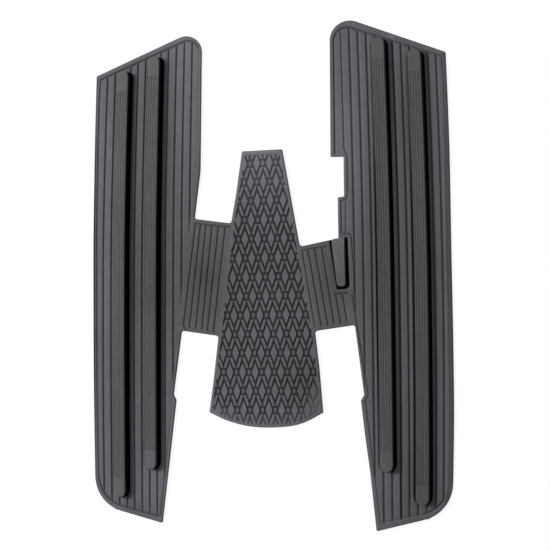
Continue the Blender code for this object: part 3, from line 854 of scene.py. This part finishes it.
def painted_shade_under_slit():
    """Thin sheet that closes the flap's slit from below, painted black: it stands in for the deep shade in the slit, so
    that the floor does not show through.
    """
    corners = [(69.6, 33.4, 0.3), (77.6, -20.4, 0.5), (93.0, -20.4, 2.0), (91.2, 36.6, 0.5), (80.7, 36.6, 0.5), (80.3, 34.0, 0.5)]
    loop = rounded(corners)
    bm = bmesh.new()
    shade = bm.verts.layers.float.new("painted_shading")
    rings = []
    for inset, z in ((0.15, 0.06), (0.0, 0.2), (0.0, 0.6), (0.15, 0.75)):
        ring = []
        for x, y in shifted(loop, inset, True):
            v = bm.verts.new((x * MM, y * MM, z * MM))
            v[shade] = 0.0
            ring.append(v)
        rings.append(ring)
    count = len(loop)
    for low, high in zip(rings, rings[1:]):
        for i in range(count):
            j = (i + 1) % count
            bm.faces.new((low[i], low[j], high[j], high[i]))
    bm.faces.new(rings[0][::-1])
    bm.faces.new(rings[-1])
    bmesh.ops.triangulate(bm, faces=[f for f in bm.faces if len(f.verts) > 4])
    return to_object(bm, "flap_slit_painted_shade", FLAPS)


slit_shade_piece = painted_shade_under_slit()


# ---------------------------------------------------------------- runners

# runner cross-section: half width, height and painted shading; the walls are painted dark from the foot upwards,
# standing in for the shade on them, and only the rounded top is left pale
WALL = [(10.1, -1.2, 0.05), (10.1, -0.1, 0.05), (9.9, 0.12, 0.05), (9.6, 0.5, 0.06), (8.85, 2.3, 0.16), (8.1, 4.1, 0.28),
        (7.35, 5.9, 0.42), (7.15, 6.5, 0.52), (6.8, 7.0, 0.70), (6.3, 7.32, 0.90), (5.75, 7.45, 0.98), (5.4, 7.5, 1.0)]
FLUTES = (-4.35, -1.45, 1.45, 4.35)


def strip_profile():
    """Cross-section of a runner from its right foot over the fluted top to its left foot: x, z and the painted shading,
    with the flutes painted a little darker as shade in the recesses.
    """
    top = []
    for c in sorted(FLUTES, reverse=True):
        top += [(c + 0.75, 7.5, 1.0), (c + 0.5, 7.45, 0.98), (c + 0.22, 7.29, 0.93), (c, 7.25, 0.92),
                (c - 0.22, 7.29, 0.93), (c - 0.5, 7.45, 0.98), (c - 0.75, 7.5, 1.0)]
    return WALL + top + [(-x, z, f) for x, z, f in reversed(WALL)]


def painted_wall_shade(side, inner, x, y, f):
    """Painted shade on the runner walls: the right walls, away from the key light, are painted black; on the right mat
    the left walls are painted paler towards the front, and the inner one's to the rear.
    """
    if abs(x) <= 5.4 and f > 0.85:
        return f
    aside = float(smooth(abs(x) / 6.0))
    if x > 0.0:
        return f + (f ** 1.8 - f) * aside
    if side < 0:
        return f
    pale = 0.72 * float(smooth((y - 20.0) / 150.0))
    if inner:
        pale = max(pale, 0.5 * float(smooth((-70.0 - y) / 90.0)))
    left = max(f * (0.72 + 0.28 * float(smooth((f - 0.85) / 0.15))), pale)
    return f + (left - f) * aside


def runner_strip(name, side, u, low, high):
    profile = strip_profile()
    bm = bmesh.new()
    shade = bm.verts.layers.float.new("painted_shading")
    rings = []
    for y in np.linspace(low, high, 32):
        x0 = side * bowed(side, u, float(y))
        ring = []
        for x, z, f in profile:
            v = bm.verts.new(((x0 + x) * MM, y * MM, (T + z) * MM))
            v[shade] = painted_wall_shade(side, u < 150.0, x, float(y), f)
            ring.append(v)
        rings.append(ring)
    count = len(profile)
    for a, b in zip(rings, rings[1:]):
        for i in range(count):
            j = (i + 1) % count
            bm.faces.new((a[i], b[i], b[j], a[j]))
    ends = [bm.faces.new(rings[0]), bm.faces.new(rings[-1][::-1])]
    bmesh.ops.triangulate(bm, faces=ends)
    bmesh.ops.recalc_face_normals(bm, faces=bm.faces)
    return to_object(bm, name, RUNNER)


def runner_cap(name, side, u, joint, end):
    way = 1.0 if end > joint else -1.0
    centre = end - way * 9.7
    bm = bmesh.new()
    shade = bm.verts.layers.float.new("painted_shading")
    rings = []
    levels = WALL + [(4.6, 7.53, 1.0), (3.4, 7.55, 1.0)]
    for half, z, f in levels:
        outline = [(half, joint + (centre - joint) * t) for t in (0.0, 0.35, 0.7)]
        reach = 9.2 + (half - 10.1) * 0.24
        power = 0.7 + 0.25 * min(max((half - 5.4) / 4.7, 0.0), 1.0)      # squarer on top than at the foot
        for k in range(25):
            c, t = math.cos(math.pi * k / 24), math.sin(math.pi * k / 24)
            outline.append((half * math.copysign(abs(c) ** power, c), centre + way * reach * t ** power))
        outline += [(-half, joint + (centre - joint) * t) for t in (0.7, 0.35, 0.0)]
        ring = []
        for x, y in outline:
            v = bm.verts.new(((side * bowed(side, u, y) + x) * MM, y * MM, (T + z) * MM))
            v[shade] = painted_wall_shade(side, u < 150.0, x, y, f)
            ring.append(v)
        rings.append(ring)
    count = len(rings[0])
    for a, b in zip(rings, rings[1:]):
        for i in range(count):
            j = (i + 1) % count
            bm.faces.new((a[i], a[j], b[j], b[i]))
    ends = [bm.faces.new(rings[0][::-1]), bm.faces.new(rings[-1])]
    bmesh.ops.triangulate(bm, faces=ends)
    bmesh.ops.recalc_face_normals(bm, faces=bm.faces)
    return to_object(bm, name, CAP)


RUNNERS = {
    "left_outer_runner": (-1, 166.5, 232.8, 207.6, -219.8, -242.8),
    "left_inner_runner": (-1, 129.4, 247.0, 223.0, -190.0, -212.3),
    "right_inner_runner": (1, 129.6, 248.6, 223.2, -187.9, -210.8),
    "right_outer_runner": (1, 167.8, 232.8, 207.3, -221.3, -243.6),
}
for node, (side, u, front, front_joint, rear_joint, rear) in RUNNERS.items():
    body = "left_side" if side < 0 else "right_side"
    piece = runner_strip(node + "_strip", side, u, rear_joint + 0.1, front_joint - 0.1)
    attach(piece, body)
    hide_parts(node)
    for place, joint, end in (("front", front_joint + 0.1, front), ("rear", rear_joint - 0.1, rear)):
        piece = runner_cap(f"{node}_{place}_end", side, u, joint, end)
        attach(piece, body)
        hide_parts(f"{node}_{place}_cap")


# ---------------------------------------------------------------- what moves with what

def fold_point(x, slant, z=0.0):
    return (x * MM, 0.0, z)


def bend(piece, a, b, start, end, slant):
    """Only bakes the piece's transform into its mesh; the piece is not bent between the two bodies, from one slanted
    line to another.
    """
    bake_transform(piece)


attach(left_mat, "left_side")
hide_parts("left_mat")
bend(left_web_outer, "left_side", "left_web", L1 + 0.4, L2 - 0.8, LEFT_SLANT)
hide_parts("left_web")
bend(left_web_inner, "left_web", "tunnel", L2 + 0.8, L3 - 0.4, LEFT_SLANT)
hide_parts("left_web")
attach(tread, "tunnel")
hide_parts("tunnel_tread")
bend(right_web_inner, "tunnel", "right_web", R3 + 0.4, R2 - 0.8, RIGHT_SLANT)
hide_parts("right_web")
bend(right_web_outer, "right_web", "right_side", R2 + 0.8, R1 - 0.7, RIGHT_SLANT)
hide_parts("right_web")
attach(right_mat, "right_side")
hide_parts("right_mat")
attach(slit_shade_piece, "right_side")
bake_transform(flap)
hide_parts("pedal_flap")


# ---------------------------------------------------------------- floor, light and camera

def floor():
    mesh = bpy.data.meshes.new("floor")
    s = 6.0
    mesh.from_pydata([(-s, -s, -0.0003), (s, -s, -0.0003), (s, s, -0.0003), (-s, s, -0.0003)], [], [(0, 1, 2, 3)])
    ob = bpy.data.objects.new("floor", mesh)
    bpy.context.scene.collection.objects.link(ob)
    mat = bpy.data.materials.new("floor_white")
    mat.use_nodes = True
    shader = mat.node_tree.nodes["Principled BSDF"]
    shader.inputs["Base Color"].default_value = (0.12, 0.12, 0.12, 1.0)
    shader.inputs["Roughness"].default_value = 0.9
    shader.inputs["Specular IOR Level"].default_value = 0.1
    shader.inputs["Emission Color"].default_value = (1.0, 1.0, 1.0, 1.0)
    shader.inputs["Emission Strength"].default_value = 0.88
    mesh.materials.append(mat)


floor()
scene = bpy.context.scene
world = bpy.data.worlds.new("studio")
world.use_nodes = True
background = world.node_tree.nodes["Background"]
background.inputs["Color"].default_value = (1.0, 1.0, 1.0, 1.0)
background.inputs["Strength"].default_value = 0.16
scene.world = world


def softbox(name, place, aim, size, power):
    light = bpy.data.lights.new(name, "AREA")
    light.shape = "RECTANGLE"
    light.size, light.size_y = size
    light.energy = power
    ob = bpy.data.objects.new(name, light)
    scene.collection.objects.link(ob)
    way = (Vector(aim) - Vector(place)).normalized()
    ob.matrix_world = Matrix.Translation(place) @ way.to_track_quat("-Z", "Y").to_matrix().to_4x4()


softbox("key", (-3.35, 0.95, 3.2), (0.0, 0.0, 0.0), (1.6, 1.6), 262.0)
softbox("top", (-0.1, 0.5, 2.2), (0.0, 0.0, 0.0), (1.4, 1.4), 8.0)
softbox("fill", (1.6, -0.2, 1.3), (0.0, 0.0, 0.0), (1.2, 1.2), 3.8)

camera = bpy.data.cameras.new("camera")
camera.sensor_fit = "HORIZONTAL"
camera.sensor_width = 36.0
camera.lens = 72.0
camera.clip_end = 20.0
camera_ob = bpy.data.objects.new("camera", camera)
scene.collection.objects.link(camera_ob)
forward = Vector((-0.244273, 0.080591, -0.966352)).normalized()
up = Vector((0.026106, 0.996726, 0.076525))
right_way = forward.cross(up).normalized()
up = right_way.cross(forward)
turn = Matrix((right_way, up, -forward)).transposed().to_4x4()
camera_ob.matrix_world = Matrix.Translation((0.29932, -0.09782, 1.14606)) @ turn
scene.camera = camera_ob
scene.view_settings.view_transform = "Standard"
scene.view_settings.look = "None"
